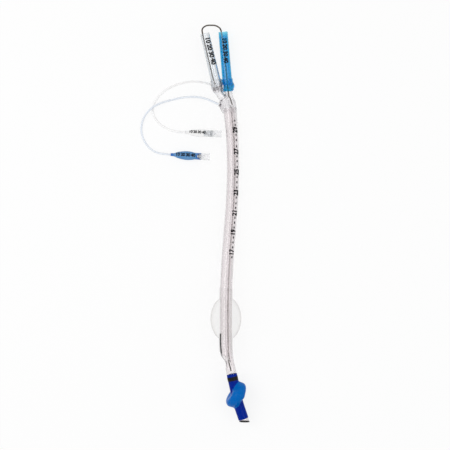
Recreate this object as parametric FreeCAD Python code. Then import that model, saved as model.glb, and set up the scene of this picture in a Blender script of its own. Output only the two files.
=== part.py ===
"""Right-sided double-lumen endobronchial tube, size 35 French, lying on a surface with its stylet in place.

Millimetres. +Y runs from the bronchial tip to the limbs, +Z is up, and the surface is Z = 0.
"""

import FreeCAD, Part
import math
import os

V = FreeCAD.Vector

# Shaft: two D-shaped lumens side by side, with a septum between them
SHAFT_R = 6.0
SHAFT_WALL = 1.2
SEPTUM_T = 0.9
INFLATION_LUMEN_R = 0.35
SHAFT_BEND_R = 200.0

# The tube lies rolled about its own length, with the bronchial side down
ROLL = math.radians(26.0)

# Tracheal cuff, a blown film with a sleeve at each end
TRACHEAL_CUFF_R = 15.4
TRACHEAL_CUFF_HALF_L = 22.0
TRACHEAL_CUFF_Y = -94.8
TRACHEAL_CUFF_FLAT = 0.4
CUFF_FILM = 0.4
PROXIMAL_SLEEVE_R = 6.5
PROXIMAL_SLEEVE_L = 10.0
DISTAL_SLEEVE_R = 6.8
DISTAL_SLEEVE_L = 12.4
CUFF_NECK_L = 1.2
CUFF_OUTLINE_STEPS = 8

# Bronchial tube, below the tracheal opening
BRONCHIAL_R = 4.8
BRONCHIAL_BORE_R = 3.7
BRONCHIAL_BEND_R = 100.0
# From the shaft's end to the bevelled tip, along the axis
BRONCHIAL_L = 64.1
BLEND_L = 8.0
OPENING_BEVEL_L = 7.5
TIP_TILT = math.radians(11.0)
TIP_MARKER_L = 0.9
# How far the blank runs on, for the slanting cut
TIP_OVERRUN = 6.5
SLOT_L = 10.0
SLOT_W = 4.0
# Places along the bronchial tube are measured back from its tip
SLOT_BACK = 14.6

# Bronchial cuff: a ring of film that slants across the tube, so that it clears the slot
CUFF_SLEEVE_R = 5.15
CUFF_START_BACK = 50.1
CUFF_END_BACK = 3.3
CUFF_MIDDLE_BACK = 29.1
CUFF_TILT = math.radians(46.0)
CUFF_RING_R = 9.1
CUFF_RING_TUBE_R = 5.4
MARKER_RING_BACK = 47.2
MARKER_RING_L = 4.0
MARKER_T = 0.2

# Y joint
TRACHEAL_BRANCH_R = 3.8
BRONCHIAL_BRANCH_R = 4.2
BRANCH_WALL = 0.9
BRANCH_TOP = 22.6
BRANCH_BLEND_L = 5.0
PORT_R = 1.9
PORT_ROOT_R = 1.6
PORT_L = 6.0
# Sideways and up from the top of the shaft: where each branch runs. Its limb goes on in line with it
BRANCH_ROUTES = {
    "tracheal": [(-2.62, 0.0), (-2.8, 6.0), (-9.82, 15.6), (-10.84, BRANCH_TOP)],
    "bronchial": [(2.62, 0.0), (2.5, 4.5), (0.45, 12.0), (0.67, BRANCH_TOP)],
}
BRANCH_R = {"tracheal": TRACHEAL_BRANCH_R, "bronchial": BRONCHIAL_BRANCH_R}
# How far down the shaft the socket reaches
SOCKET_L = 4.5
# Middle, height up the joint, half width and half thickness of the moulded body
JOINT_SECTIONS = [
    (-0.3, -SOCKET_L, 7.0, 6.75),
    (-0.6, -2.6, 7.5, 6.8),
    (-1.3, 1.0, 8.4, 6.7),
    (-1.5, 4.4, 8.6, 6.4),
    (-1.5, 7.6, 7.9, 5.8),
    (-1.7, 9.6, 6.4, 4.5),
    (-3.1, 12.2, 4.6, 2.6),
    (-4.0, 14.4, 3.4, 1.5),
]

# Limbs, slightly tapered, and the collars that join them to the branches
LIMB_LOW_R = 4.95
LIMB_TOP_R = 4.6
LIMB_BORE_R = 3.6
LIMB_TOP = 76.5
COLLAR_LOW = 16.8
COLLAR_TOP = 29.3
TRACHEAL_COLLAR_R = 6.2
BRONCHIAL_COLLAR_R = 6.8
COLLAR_LIP_R = 5.6
COLLAR_BEAD = 0.15
COLLAR_BEAD_L = 1.1
COLLAR_FOOT_WALL = 0.8
COLLAR_GAP = 0.3
# The collar's outline: up from its foot, and in from its widest radius
COLLAR_CHAMFER = (1.6, 0.9)
COLLAR_WIDEST_AT = 4.4
COLLAR_WAIST = (7.6, 0.45)
COLLAR_R = {"tracheal": TRACHEAL_COLLAR_R, "bronchial": BRONCHIAL_COLLAR_R}

# Stylet, one bent wire. It leans on the walls of the tracheal limb and of the bronchial limb
STYLET_R = 0.75
STYLET_LEAN = V(-2.3, 0, -1.0)
STYLET_FOOT_LEAN = V(-1.6, 0, -0.7)
STYLET_BRONCHIAL_LEAN = V(-1.4, 0, 0)
# Along each limb: where the wire starts, where it meets the wall, and how far below the mouth it leaves it
STYLET_START = 1.5
STYLET_ON_WALL = 9.0
STYLET_BELOW_MOUTH = {"tracheal": 2.5, "bronchial": 3.0}
STYLET_LOW_IN_LIMB = 4.0
STYLET_INTO_LUMEN = 2.0
# X and Y, and how far down from the tracheal limb's height to the bronchial limb's
STYLET_ARCH = [(-23.6, 194.6, 0.05), (-18.9, 198.2, 0.3), (-9.6, 198.4, 0.7), (-4.6, 195.4, 0.95)]
STYLET_STATIONS = [26.0, 58.0, 90.0, 122.0, 154.0, 184.0, 212.0, 238.0]
STYLET_END_STATIONS = [3.0, 11.0]

# Black line on the shaft, beside the tracheal opening: it sits a little below the shaft's tracheal side
OPENING_MARKER_W = 3.0
OPENING_MARKER_L = 20.0
OPENING_MARKER_DOWN = 0.6

# Inflation lines and what is on them
LINE_R = 1.0
ARC_SHARE = 0.45
OUTLINE_TOL = 0.05
LINE_SLEEVE_R = 1.5
LINE_SLEEVE_TIP_R = 0.8
LINE_SLEEVE_FOOT = 21.5
BALLOON_SLEEVE_L = 5.5
BALLOON_FILM = 0.35
BALLOON_NECK_R = 1.5
BALLOON_NECK_L = 2.5
BALLOON_PASSAGE_R = 0.5
# Share of the balloon's length, and how far the radius has gone towards the belly's
BALLOON_RISE = (0.24, 0.55)
BALLOON_BELLY = (0.54, 1.0)
BALLOON_FALL = (0.72, 0.6)
VALVE_BODY_R = 3.0
VALVE_BODY_L = 8.5
VALVE_BODY_CHAMFER = 0.4
VALVE_FLOOR = 1.2
VALVE_INLET_R = 0.6
CHAMBER_R = 1.95
LUER_R = 3.2
LUER_L = 9.2
LUER_CHAMFER = 0.3
LUER_LUG_ROOT = 0.1
LUER_MOUTH_R = 2.15
LUER_MOUTH_L = 2.5
LUER_ROOT_R = 1.9
LUER_WEB = 0.8
LUER_SPIGOT_L = 1.6
LUER_LUG_R = 3.8
LUER_LUG_W = 3.0
LUER_LUG_T = 1.2
SEAT_HOLE_R = 1.15
POPPET_HEAD_R = 1.6
POPPET_HEAD_T = 1.0
POPPET_RIB_T = 0.5
POPPET_PLAY = 0.1
POPPET_REACH = 4.0
SEAL_T = 0.6
SPRING_WIRE_R = 0.15
SPRING_R = 1.25
SPRING_TURNS = 4
SPRING_SIDES = 6
SPRING_PLAY = 0.03

# Heights of the tube's axis: at the joint it rests on the blue collar, then on the shaft's bulge,
# and then on the tracheal cuff
BULGE_Z = SHAFT_R
JOINT_Z = BRONCHIAL_COLLAR_R + 0.12
CUFF_Z = TRACHEAL_CUFF_R - TRACHEAL_CUFF_FLAT
CUFF_RISE_Z = 1.35

SHAFT_ROUTE = [
    V(4.0, 115.7, JOINT_Z),
    V(6.9, 87.7, BULGE_Z + 0.4),
    V(7.9, 55.7, BULGE_Z),
    V(7.0, 25.7, BULGE_Z + 0.5),
    V(4.5, -6.3, BULGE_Z + 2.6),
    V(2.1, -38.3, BULGE_Z + 5.2),
    V(0.7, -66.3, CUFF_Z - CUFF_RISE_Z),
    V(0.5, -121.3, CUFF_Z + CUFF_RISE_Z),
    V(2.3, -136.3, CUFF_Z + CUFF_RISE_Z + 0.1),
]
# From the shaft's end to the bronchial tube's one bend, and the direction that the tip then takes
BRONCHIAL_RUN = V(9.3, -42.4, -2.4)
TIP_HEADING = V(8.6, -25.6, -2.2)

TRACHEAL_LINE_ROUTE = [
    V(11.4, 101.6, 2.3),
    V(10.8, 108.6, 1.3),
    V(10.5, 116.4, 1.0),
    V(8.9, 123.2, 1.0),
    V(3.6, 128.1, 1.0),
    V(-2.9, 132.3, 1.0),
    V(-9.7, 137.3, 1.0),
    V(-17.9, 140.8, 1.0),
    V(-26.6, 142.4, 1.0),
    V(-35.6, 142.6, 1.0),
    V(-45.1, 140.9, 1.0),
    V(-54.5, 137.5, 1.0),
    V(-62.7, 132.3, 1.0),
    V(-69.5, 125.1, 1.0),
    V(-73.4, 116.3, 1.0),
    V(-71.9, 107.3, 1.0),
    V(-65.7, 99.5, 1.0),
    V(-56.9, 94.3, 2.1),
    V(-48.5, 91.99, 4.46),
    V(-40.5, 91.6, 4.35),
]
BRONCHIAL_LINE_ROUTE = [
    V(-6.7, 119.2, 12.4),
    V(-14.3, 123.1, 12.0),
    V(-22.9, 126.1, 9.4),
    V(-32.1, 127.3, 5.2),
    V(-41.9, 126.8, 1.9),
    V(-51.7, 124.8, 1.0),
    V(-60.9, 122.3, 3.0),
    V(-68.7, 119.3, 6.3),
    V(-76.1, 114.1, 6.3),
    V(-81.4, 107.5, 3.2),
    V(-84.3, 99.3, 1.0),
    V(-84.3, 90.7, 1.0),
    V(-81.4, 82.7, 1.0),
    V(-76.4, 75.9, 1.0),
    V(-69.7, 71.4, 2.7),
    V(-62.2, 69.78, 5.0),
    V(-54.7, 69.3, 4.86),
]
# Each pilot goes on in line with its inflation line
TRACHEAL_PILOT = {"belly_r": 3.9, "balloon_l": 27.6}
BRONCHIAL_PILOT = {"belly_r": 4.5, "balloon_l": 30.0}


def unit(vector):
    return V(vector).normalize()


class Route:
    """Straight runs joined by tangent arcs, carrying a sideways direction along without twist."""

    def __init__(self, points, side, bend_r=None):
        self.pieces = []
        self.radii = []
        here = points[0]
        self.side = unit(side - unit(points[1] - here) * side.dot(unit(points[1] - here)))
        carried = self.side
        for before, corner, after in zip(points, points[1:], points[2:]):
            along_in = unit(corner - before)
            along_out = unit(after - corner)
            turn = along_in.getAngle(along_out)
            reach = ARC_SHARE * min((corner - before).Length, (after - corner).Length)
            if bend_r:
                reach = min(reach, bend_r * math.tan(turn / 2))
            radius = reach / math.tan(turn / 2)
            arc_start = corner - along_in * reach
            arc_end = corner + along_out * reach
            inward = unit(along_out - along_in)
            centre = corner + inward * (radius / math.cos(turn / 2))
            axis = unit(along_in.cross(along_out))
            self.pieces.append((Part.LineSegment(here, arc_start).toShape(), carried, None, 0.0))
            arc = Part.Arc(arc_start, centre - inward * radius, arc_end)
            self.pieces.append((arc.toShape(), carried, axis, turn))
            self.radii.append(radius)
            carried = FreeCAD.Rotation(axis, math.degrees(turn)).multVec(carried)
            here = arc_end
        self.pieces.append((Part.LineSegment(here, points[-1]).toShape(), carried, None, 0.0))
        self.wire = Part.Wire([piece[0] for piece in self.pieces])
        self.length = self.wire.Length

    def frame(self, distance):
        """Point, direction of travel and carried side, at a distance from the start."""
        for edge, carried, axis, turn in self.pieces:
            if distance <= edge.Length or edge is self.pieces[-1][0]:
                break
            distance -= edge.Length
        here = edge.getParameterByLength(min(max(distance, 0.0), edge.Length))
        if axis:
            share = min(max(distance / edge.Length, 0.0), 1.0)
            carried = FreeCAD.Rotation(axis, math.degrees(turn) * share).multVec(carried)
        return edge.valueAt(here), unit(edge.tangentAt(here)), carried


def section_point(frame, sideways, upward=0.0):
    """A point in a route's cross-section, sideways to the bronchial side and upward from it."""
    point, along, side = frame
    return point + side * sideways + along.cross(side) * upward


def circle(frame, radius, sideways=0.0, upward=0.0):
    return Part.Wire(Part.makeCircle(radius, section_point(frame, sideways, upward), frame[1]))


def split_circle(frame, radius, half_angle):
    """A circle of two arcs that meet where a D's two corners are, for a loft from the D."""
    def at(angle):
        return section_point(frame, radius * math.cos(angle), radius * math.sin(angle))
    near = Part.Arc(at(-half_angle), at(0.0), at(half_angle)).toShape()
    far = Part.Arc(at(half_angle), at(math.pi), at(-half_angle)).toShape()
    return Part.Wire([near, far])


def d_shape(frame, radius, chord, toward):
    """A D in a route's cross-section: an arc of the radius, closed by a chord at that offset."""
    half_angle = math.acos(chord / radius)
    def at(angle):
        return section_point(frame, toward * radius * math.cos(angle), radius * math.sin(angle))
    arc = Part.Arc(at(-half_angle), at(0.0), at(half_angle)).toShape()
    flat = Part.LineSegment(at(half_angle), at(-half_angle)).toShape()
    return Part.Wire([arc, flat])


def pipe(route, wire):
    return route.wire.makePipeShell([wire], True, False)


def round_rod(route, radius):
    return pipe(route, circle(route.frame(0.0), radius))


def placed(shape, origin, along, side):
    """Moves a shape whose X is along and whose Y is sideways."""
    turned = FreeCAD.Rotation(along, side, along.cross(side), "XYZ")
    moved = shape.copy()
    moved.Placement = FreeCAD.Placement(origin, turned)
    return moved


def tangent_arcs(curve):
    """A smooth curve as arcs, each tangent to the next."""
    return [piece.toShape() for piece in curve.toBiArcs(OUTLINE_TOL)]


def turned_solid(outline, origin, along, side):
    """A solid of revolution. The outline is (distance, radius) pairs, and a list in it is a smooth curve."""
    edges = []
    here = V(outline[0][0], outline[0][1], 0)
    for entry in outline[1:]:
        if isinstance(entry, list):
            curve = Part.BSplineCurve()
            points = [here] + [V(d, r, 0) for d, r in entry]
            curve.interpolate(Points=points, InitialTangent=V(1, 0, 0), FinalTangent=V(1, 0, 0))
            edges += tangent_arcs(curve)
            there = points[-1]
        else:
            there = V(entry[0], entry[1], 0)
            edges.append(Part.LineSegment(here, there).toShape())
        here = there
    start = V(outline[0][0], outline[0][1], 0)
    edges.append(Part.LineSegment(here, start).toShape())
    face = Part.Face(Part.Wire(edges))
    solid = face.revolve(V(0, 0, 0), V(1, 0, 0), 360)
    return placed(solid, origin, along, side)


def rod(origin, along, low_r, top_r, length):
    """A cylinder, or a cone where the radii differ."""
    if abs(low_r - top_r) < 1e-6:
        return Part.makeCylinder(low_r, length, origin, along)
    return Part.makeCone(low_r, top_r, length, origin, along)


# Wide enough to cut off whatever lies past a plane, and short enough to spare what lies round a bend
CUTTER = 2 * (BRONCHIAL_L - TIP_OVERRUN)
SHORT_CUTTER = CUTTER / 4


def half_space(point, outward, size=CUTTER):
    """A large block on the outward side of a plane."""
    along = unit(outward)
    upright = V(1, 0, 0) if abs(along.z) > 0.9 else V(0, 0, 1)
    sideways = unit(along.cross(upright))
    block = Part.makeBox(size, 2 * size, 2 * size, V(0, -size, -size))
    return placed(block, point, along, sideways)


# The joint's own frame, at the top end of the shaft
UP_TUBE = unit(SHAFT_ROUTE[0] - SHAFT_ROUTE[1])
LEVEL_SIDE = unit(V(1, 0, 0) - UP_TUBE * UP_TUBE.x)
SIDE = unit(LEVEL_SIDE * math.cos(ROLL) - LEVEL_SIDE.cross(UP_TUBE) * math.sin(ROLL))
OUT_OF_PLANE = SIDE.cross(UP_TUBE)
SHAFT = Route(SHAFT_ROUTE, SIDE, SHAFT_BEND_R)
LUMEN_R = SHAFT_R - SHAFT_WALL
LUMEN_CENTRE = (SEPTUM_T / 2 + LUMEN_R) / 2


def joint_point(sideways, up):
    return SHAFT_ROUTE[0] + SIDE * sideways + UP_TUBE * up


def bronchial_route():
    end, along, side = SHAFT.frame(SHAFT.length)
    start = end + side * (SHAFT_R - BRONCHIAL_R)
    bend = start + BRONCHIAL_RUN
    past_tip = bend + unit(TIP_HEADING) * (BRONCHIAL_L + TIP_OVERRUN - BRONCHIAL_RUN.Length)
    return Route([start, bend, past_tip], side, BRONCHIAL_BEND_R)


BRONCHIAL = bronchial_route()


def from_tip(back):
    """The bronchial tube's frame, at a distance back from its tip."""
    return BRONCHIAL.frame(BRONCHIAL_L - back)


def make_shaft():
    start = SHAFT.frame(0.0)
    wall = round_rod(SHAFT, SHAFT_R)
    cuts = [pipe(SHAFT, d_shape(start, LUMEN_R, SEPTUM_T / 2, toward)) for toward in (-1, 1)]
    in_wall = SHAFT_R - SHAFT_WALL / 2
    for sideways, upward in ((in_wall, 0.0), (0.0, -in_wall)):
        cuts.append(pipe(SHAFT, circle(start, INFLATION_LUMEN_R, sideways, upward)))
    cuts.append(tracheal_bevel())
    return wall.cut(Part.makeCompound(cuts))


def tracheal_bevel():
    """What the slanting cut takes off the tracheal side at the shaft's end."""
    point, along, side = SHAFT.frame(SHAFT.length)
    inner = point - side * (SEPTUM_T / 2)
    outer = point - side * (SHAFT_R * 1.5)
    high = outer - along * (OPENING_BEVEL_L * 1.5)
    past = along * BRONCHIAL_R
    normal = along.cross(side)
    corners = [inner, high, outer + past, inner + past, inner]
    outline = [corner - normal * (SHAFT_R * 2) for corner in corners]
    return Part.Face(Part.makePolygon(outline)).extrude(normal * (SHAFT_R * 4))


def bronchial_blank(radius, chord, shaft_radius):
    """The bronchial tube's outside, or its bore: a D at the shaft's end that blends to a round tube."""
    d_frame = SHAFT.frame(SHAFT.length)
    round_frame = BRONCHIAL.frame(BLEND_L)
    half_angle = math.acos(chord / shaft_radius)
    blend = Part.makeLoft(
        [d_shape(d_frame, shaft_radius, chord, 1), split_circle(round_frame, radius, half_angle)],
        True,
        True,
    )
    round_part = round_rod(BRONCHIAL, radius)
    behind = half_space(round_frame[0], round_frame[1] * -1, SHORT_CUTTER)
    return blend, round_part.cut(behind)


def tip_plane_normal():
    return V(0, -math.cos(TIP_TILT), math.sin(TIP_TILT))


def tip_point(back=0.0):
    return from_tip(0.0)[0] - tip_plane_normal() * back


def bronchial_wall():
    """The whole bronchial tube, before the tip is cut off."""
    blend, round_part = bronchial_blank(BRONCHIAL_R, -SEPTUM_T / 2, SHAFT_R)
    bore_blend, bore = bronchial_blank(BRONCHIAL_BORE_R, SEPTUM_T / 2, LUMEN_R)
    outside = blend.fuse(round_part)
    inside = bore_blend.fuse(bore)
    return outside.cut(inside).cut(vent_slot())


def vent_slot():
    """The cutter for the side slot that ventilates the upper lobe: a long hole with round ends."""
    point, along, side = from_tip(SLOT_BACK)
    half_run = (SLOT_L - SLOT_W) / 2
    normal = along.cross(side)
    out_side = side * (BRONCHIAL_R * 2)
    ends = [Part.makeCylinder(SLOT_W / 2, out_side.Length, point + along * step, side)
            for step in (-half_run, half_run)]
    corner = point - along * half_run - normal * (SLOT_W / 2)
    outline = [corner, corner + along * (2 * half_run),
               corner + along * (2 * half_run) + normal * SLOT_W, corner + normal * SLOT_W, corner]
    middle = Part.Face(Part.makePolygon(outline)).extrude(out_side)
    return middle.fuse(ends)


def make_bronchial_tube():
    return bronchial_wall().cut(half_space(tip_point(TIP_MARKER_L), tip_plane_normal()))


def make_tip_marker():
    ring = bronchial_wall().common(half_space(tip_point(TIP_MARKER_L), tip_plane_normal()))
    return ring.cut(half_space(tip_point(), tip_plane_normal()))


def ring_swelling(shrink=0.0):
    """The slanting ring of the cuff as a solid, about an axis that leans off the tube's."""
    point, along, side = from_tip(CUFF_MIDDLE_BACK)
    ring_axis = along * math.cos(CUFF_TILT) + side * math.sin(CUFF_TILT)
    return Part.makeTorus(CUFF_RING_R, CUFF_RING_TUBE_R - shrink, point, ring_axis)


def make_bronchial_cuff():
    low = from_tip(CUFF_START_BACK)
    high = from_tip(CUFF_END_BACK)
    sleeve = round_rod(BRONCHIAL, CUFF_SLEEVE_R)
    sleeve = sleeve.cut(half_space(low[0], low[1] * -1)).cut(half_space(high[0], high[1]))
    outside = sleeve.fuse(ring_swelling())
    inside = ring_swelling(CUFF_FILM)
    return outside.cut(round_rod(BRONCHIAL, BRONCHIAL_R)).cut(inside).cut(vent_slot())


def make_marker_ring():
    point, along, side = from_tip(MARKER_RING_BACK)
    outer = rod(point, along, CUFF_SLEEVE_R + MARKER_T, CUFF_SLEEVE_R + MARKER_T, MARKER_RING_L)
    return outer.cut(rod(point, along, CUFF_SLEEVE_R, CUFF_SLEEVE_R, MARKER_RING_L))


def cuff_frame():
    """Centre of the tracheal cuff on the shaft's axis, pointing towards the tip."""
    low, high = SHAFT_ROUTE[6], SHAFT_ROUTE[7]
    along = unit(high - low)
    share = (TRACHEAL_CUFF_Y - low.y) / (high.y - low.y)
    side = unit(V(1, 0, 0) - along * along.x)
    return low + (high - low) * share, along, side


def swelling_outline():
    """The tracheal cuff's oval outline: where its two necks end, and points between them."""
    reach = [TRACHEAL_CUFF_HALF_L * math.sqrt(1 - (r / TRACHEAL_CUFF_R) ** 2)
             for r in (PROXIMAL_SLEEVE_R, DISTAL_SLEEVE_R)]
    points = []
    for step in range(1, CUFF_OUTLINE_STEPS):
        d = -reach[0] + sum(reach) * step / CUFF_OUTLINE_STEPS
        points.append((d, TRACHEAL_CUFF_R * math.sqrt(1 - (d / TRACHEAL_CUFF_HALF_L) ** 2)))
    return -reach[0] - CUFF_NECK_L, reach[1] + CUFF_NECK_L, points


def make_tracheal_cuff():
    origin, along, side = cuff_frame()
    low, high, points = swelling_outline()
    outside = turned_solid(
        [
            (low - PROXIMAL_SLEEVE_L, 0.0),
            (low - PROXIMAL_SLEEVE_L, PROXIMAL_SLEEVE_R),
            (low, PROXIMAL_SLEEVE_R),
            [*points, (high, DISTAL_SLEEVE_R)],
            (high + DISTAL_SLEEVE_L, DISTAL_SLEEVE_R),
            (high + DISTAL_SLEEVE_L, 0.0),
        ],
        origin, along, side,
    )
    seated_r = SHAFT_R - CUFF_FILM
    inner = [(d, r - CUFF_FILM) for d, r in points]
    inside = turned_solid(
        [(low, 0.0), (low, seated_r), [*inner, (high, seated_r)], (high, 0.0)], origin, along, side
    )
    floor = half_space(V(origin.x, origin.y, 0), V(0, 0, -1))
    inner_floor = half_space(V(origin.x, origin.y, CUFF_FILM), V(0, 0, -1))
    film = outside.cut(floor).cut(inside.cut(inner_floor)).cut(make_opening_marker())
    return film.cut(round_rod(SHAFT, SHAFT_R)).cut(tracheal_bevel())


def make_opening_marker():
    """Black line on the shaft's tracheal side. It shows through the cuff's film, and ends at the opening."""
    end, along, side = SHAFT.frame(SHAFT.length - OPENING_BEVEL_L)
    across = along.cross(side)
    shell = round_rod(SHAFT, SHAFT_R + MARKER_T).cut(round_rod(SHAFT, SHAFT_R))
    keep = Part.makeBox(OPENING_MARKER_L, SHAFT_R * 2, OPENING_MARKER_W)
    corner = end - along * OPENING_MARKER_L + across * (OPENING_MARKER_W / 2 - OPENING_MARKER_DOWN)
    return shell.common(placed(keep, corner, along, side * -1))


def oval(centre_side, up, half_width, half_height):
    """An oval in the joint's cross-section."""
    centre = joint_point(centre_side, up)
    curve = Part.Ellipse(
        centre + SIDE * half_width, centre + OUT_OF_PLANE * half_height, centre
    )
    return Part.Wire(curve.toShape())


def branch_route(name):
    points = [joint_point(sideways, up) for sideways, up in BRANCH_ROUTES[name]]
    return Route(points, SIDE)


def make_y_joint():
    sections = [oval(*section) for section in JOINT_SECTIONS]
    body = Part.makeLoft(sections, True, False)
    branches = {name: branch_route(name) for name in BRANCH_ROUTES}
    solid = body.fuse([round_rod(branches[name], BRANCH_R[name]) for name in branches])
    solid = solid.fuse(port_boss())
    frame = SHAFT.frame(0.0)
    socket = rod(joint_point(0, -2 * SOCKET_L), UP_TUBE, SHAFT_R, SHAFT_R, 2 * SOCKET_L)
    solid = solid.cut(socket)
    for name, toward in (("tracheal", -1), ("bronchial", 1)):
        route = branches[name]
        bore_r = BRANCH_R[name] - BRANCH_WALL
        start = route.frame(BRANCH_BLEND_L)
        half_angle = math.acos(SEPTUM_T / 2 / LUMEN_R)
        turned = (start[0], start[1], start[2] * toward)
        blend = Part.makeLoft(
            [d_shape(frame, LUMEN_R, SEPTUM_T / 2, toward), split_circle(turned, bore_r, half_angle)],
            True, True,
        )
        bore = round_rod(route, bore_r).cut(half_space(start[0], start[1] * -1, SHORT_CUTTER))
        solid = solid.cut(blend).cut(bore)
    return solid


def port_axis():
    first, second = BRONCHIAL_LINE_ROUTE[:2]
    return unit(first - second)


def port_boss():
    """The joint's port for the bronchial line. The line's first point is at its mouth."""
    return rod(BRONCHIAL_LINE_ROUTE[0], port_axis(), PORT_ROOT_R, PORT_R, PORT_L)


def limb_axis(name):
    """Where a limb starts, at its branch's top, its direction and its length."""
    branch = branch_route(name)
    foot, along, side = branch.frame(branch.length)
    return foot, along, (LIMB_TOP - BRANCH_TOP) / along.dot(UP_TUBE)


def limb_blank(name):
    foot, along, length = limb_axis(name)
    return rod(foot, along, LIMB_LOW_R, LIMB_TOP_R, length)


def make_limb(name):
    foot, along, length = limb_axis(name)
    return limb_blank(name).cut(rod(foot, along, LIMB_BORE_R, LIMB_BORE_R, length))


def make_collar(name):
    """A moulded collar: a beaded lip at the top, flaring to its widest near the foot, flat towards the other."""
    foot, along, length = limb_axis(name)
    base = COLLAR_LOW - BRANCH_TOP
    top = COLLAR_TOP - BRANCH_TOP
    bead = top - COLLAR_BEAD
    widest_r = COLLAR_R[name]
    outline = [
        (base, 0.0),
        (base, BRANCH_R[name] + COLLAR_FOOT_WALL),
        (base + COLLAR_CHAMFER[0], widest_r - COLLAR_CHAMFER[1]),
        [
            (base + COLLAR_WIDEST_AT, widest_r),
            (base + COLLAR_WAIST[0], widest_r - COLLAR_WAIST[1]),
            (bead - COLLAR_BEAD_L, COLLAR_LIP_R),
        ],
        (bead - COLLAR_BEAD_L, COLLAR_LIP_R + COLLAR_BEAD),
        (bead, COLLAR_LIP_R + COLLAR_BEAD),
        (top, COLLAR_LIP_R),
        (top, 0.0),
    ]
    body = turned_solid(outline, foot, along, unit(SIDE - along * SIDE.dot(along)))
    body = body.cut(limb_blank(name)).cut(round_rod(branch_route(name), BRANCH_R[name]))
    towards = 1 if name == "tracheal" else -1
    middle = joint_point(sum(route[-1][0] for route in BRANCH_ROUTES.values()) / 2, BRANCH_TOP)
    return body.cut(half_space(middle - SIDE * (COLLAR_GAP / 2 * towards), SIDE * towards))


def stylet_route():
    """In at the tracheal limb, over the arch, and down the bronchial limb and lumen to its tip."""
    low, along, length = limb_axis("tracheal")
    tracheal_top = low + along * (length - STYLET_BELOW_MOUTH["tracheal"]) + STYLET_LEAN
    points = [low + along * STYLET_START + STYLET_FOOT_LEAN, low + along * STYLET_ON_WALL + STYLET_LEAN,
              tracheal_top]
    low, along, length = limb_axis("bronchial")
    bronchial_top = low + along * (length - STYLET_BELOW_MOUTH["bronchial"]) + STYLET_BRONCHIAL_LEAN
    for x, y, share in STYLET_ARCH:
        points.append(V(x, y, tracheal_top.z + (bronchial_top.z - tracheal_top.z) * share))
    branch = branch_route("bronchial")
    points += [bronchial_top, low + along * STYLET_LOW_IN_LIMB, branch.frame(branch.length / 2)[0]]
    points.append(joint_point(LUMEN_CENTRE, STYLET_INTO_LUMEN))
    for at in STYLET_STATIONS:
        points.append(section_point(SHAFT.frame(at), LUMEN_CENTRE))
    for at in STYLET_END_STATIONS:
        points.append(BRONCHIAL.frame(at)[0])
    return Route(points, V(0, 0, 1))


def make_stylet():
    return round_rod(stylet_route(), STYLET_R)


def make_line(points):
    route = Route(points, V(0, 0, 1))
    tube = round_rod(route, LINE_R)
    section = math.pi * LINE_R**2
    print("line", round(route.length, 1), "mm; volume over section times length",
          round(tube.Volume / (section * route.length), 4))
    print("  bend radii", [round(radius, 1) for radius in route.radii])
    return tube


def make_line_sleeve():
    """The tapered sleeve where the tracheal line leaves the shaft's side."""
    mouth, second = TRACHEAL_LINE_ROUTE[:2]
    foot = section_point(SHAFT.frame(LINE_SLEEVE_FOOT), SHAFT_R)
    cone = rod(mouth, unit(foot - mouth), LINE_SLEEVE_R, LINE_SLEEVE_TIP_R, (foot - mouth).Length)
    return cone.cut(half_space(mouth, second - mouth)).cut(round_rod(SHAFT, SHAFT_R))


def pilot_frame(route):
    """Origin at the line's end, direction to the luer mouth, and the side that the lugs stand on."""
    along = unit(route[-1] - route[-2])
    side = unit(V(0, 0, 1) - along * along.z)
    return route[-1], along, side


def make_balloon(route, pilot):
    """A pilot balloon: a spindle of film, with a neck on the line and a sleeve on the valve body."""
    origin, along, side = pilot_frame(route)
    length = pilot["balloon_l"]
    sleeve_r = VALVE_BODY_R + BALLOON_FILM
    spindle = []
    for (share, towards), end_r in ((BALLOON_RISE, BALLOON_NECK_R), (BALLOON_BELLY, sleeve_r),
                                    (BALLOON_FALL, sleeve_r)):
        spindle.append((length * share, end_r + (pilot["belly_r"] - end_r) * towards))
    spindle.append((length - BALLOON_SLEEVE_L, sleeve_r))
    outside = turned_solid(
        [(0, 0), (0, BALLOON_NECK_R), (BALLOON_NECK_L, BALLOON_NECK_R), spindle,
         (length, sleeve_r), (length, 0)],
        origin, along, side,
    )
    inner_spindle = [(d, r - BALLOON_FILM) for d, r in spindle]
    inside = turned_solid(
        [(BALLOON_NECK_L, 0), (BALLOON_NECK_L, BALLOON_PASSAGE_R), inner_spindle,
         (length, VALVE_BODY_R), (length, 0)],
        origin, along, side,
    )
    passage = rod(origin, along, BALLOON_PASSAGE_R, BALLOON_PASSAGE_R, 2 * BALLOON_NECK_L)
    return outside.cut(inside).cut(passage)


def valve_point(route, pilot, along_valve):
    """A point on the valve's axis. Zero is the inlet end of its body."""
    origin, along, side = pilot_frame(route)
    return origin + along * (pilot["balloon_l"] - VALVE_BODY_L + along_valve)


def valve_solid(outline, route, pilot):
    origin, along, side = pilot_frame(route)
    return turned_solid(outline, valve_point(route, pilot, 0.0), along, side)


def make_valve_body(route, pilot):
    """A cup that holds the spring, with the inlet hole in its floor."""
    return valve_solid(
        [
            (0, VALVE_INLET_R),
            (0, VALVE_BODY_R - VALVE_BODY_CHAMFER),
            (VALVE_BODY_CHAMFER, VALVE_BODY_R),
            (VALVE_BODY_L, VALVE_BODY_R),
            (VALVE_BODY_L, CHAMBER_R),
            (VALVE_FLOOR, CHAMBER_R),
            (VALVE_FLOOR, VALVE_INLET_R),
        ],
        route, pilot,
    )


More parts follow.
